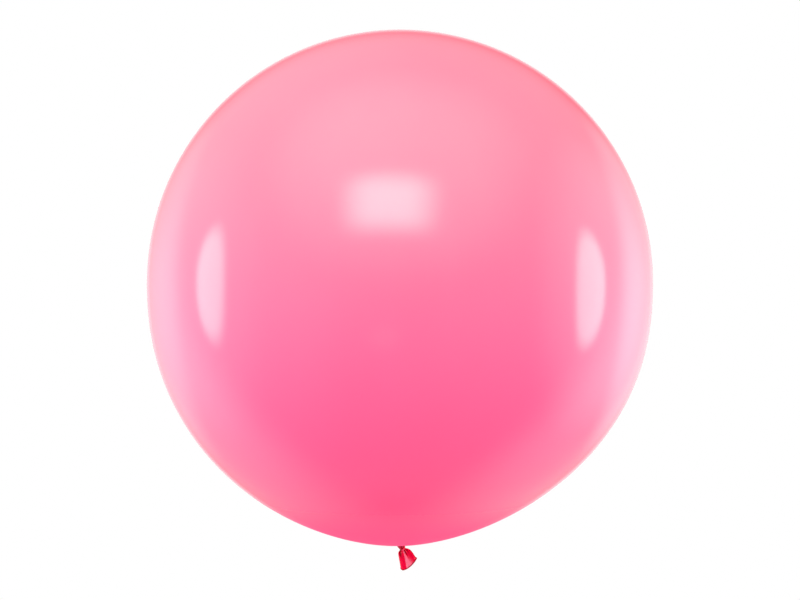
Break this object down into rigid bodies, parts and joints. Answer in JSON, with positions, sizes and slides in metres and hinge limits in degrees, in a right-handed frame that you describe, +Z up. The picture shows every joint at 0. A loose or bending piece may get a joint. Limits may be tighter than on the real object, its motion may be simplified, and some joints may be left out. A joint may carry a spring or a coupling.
{
  "type": "latex balloon",
  "caption": "Giant round latex balloon, blown up and tied, with a short gathered neck, a knot and a flared tail with a rolled lip.",
  "frame": {"origin": "the tie point, in the middle of the neck on the balloon's axis, where a ribbon is tied", "axes": "+Z up the balloon's axis from the tie point to the crown; the tail leans towards +X and shows its flat to -Y and +Y"},
  "size_m": [1, 1, 1.0737],
  "materials": {
    "stretched_latex": "glossy stretched film",
    "crown_latex": "glossy, slightly deeper where the film is thicker",
    "shoulder_latex": "glossy, deepening towards the neck",
    "neck_latex": "gathered, deep colour of unstretched latex",
    "knot_latex": "tight folds, satin gloss",
    "tail_latex": "glossy, pleated towards the knot",
    "bead_latex": "rolled bead, satin"
  },
  "bodies": {
    "balloon": {"crown_patch": "crown_latex", "envelope": "stretched_latex", "shoulder": "shoulder_latex"},
    "neck": {"neck": "neck_latex"},
    "knot": {"knot_wrap": "knot_latex", "knot_tuck": "knot_latex"},
    "tail": {"tail": "tail_latex", "rolled_lip": "bead_latex"}
  },
  "joints": [
    {"name": "neck_twist", "type": "hinge", "parent": "balloon", "child": "neck", "pos_m": [0, 0, 0], "axis": [-0.2756, 0, 0.9613], "range_deg": [-90, 90], "stiffness_Nm_per_rad": 0.004},
    {"name": "knot_swing", "type": "hinge", "parent": "neck", "child": "knot", "pos_m": [0, 0, 0], "axis": [0, 1, 0], "range_deg": [-10, 45], "stiffness_Nm_per_rad": 0.006},
    {"name": "tail_flap", "type": "hinge", "parent": "knot", "child": "tail", "pos_m": [0.00817, 0, -0.01307], "axis": [0.891, 0, 0.454], "range_deg": [-60, 60], "stiffness_Nm_per_rad": 0.004}
  ]
}
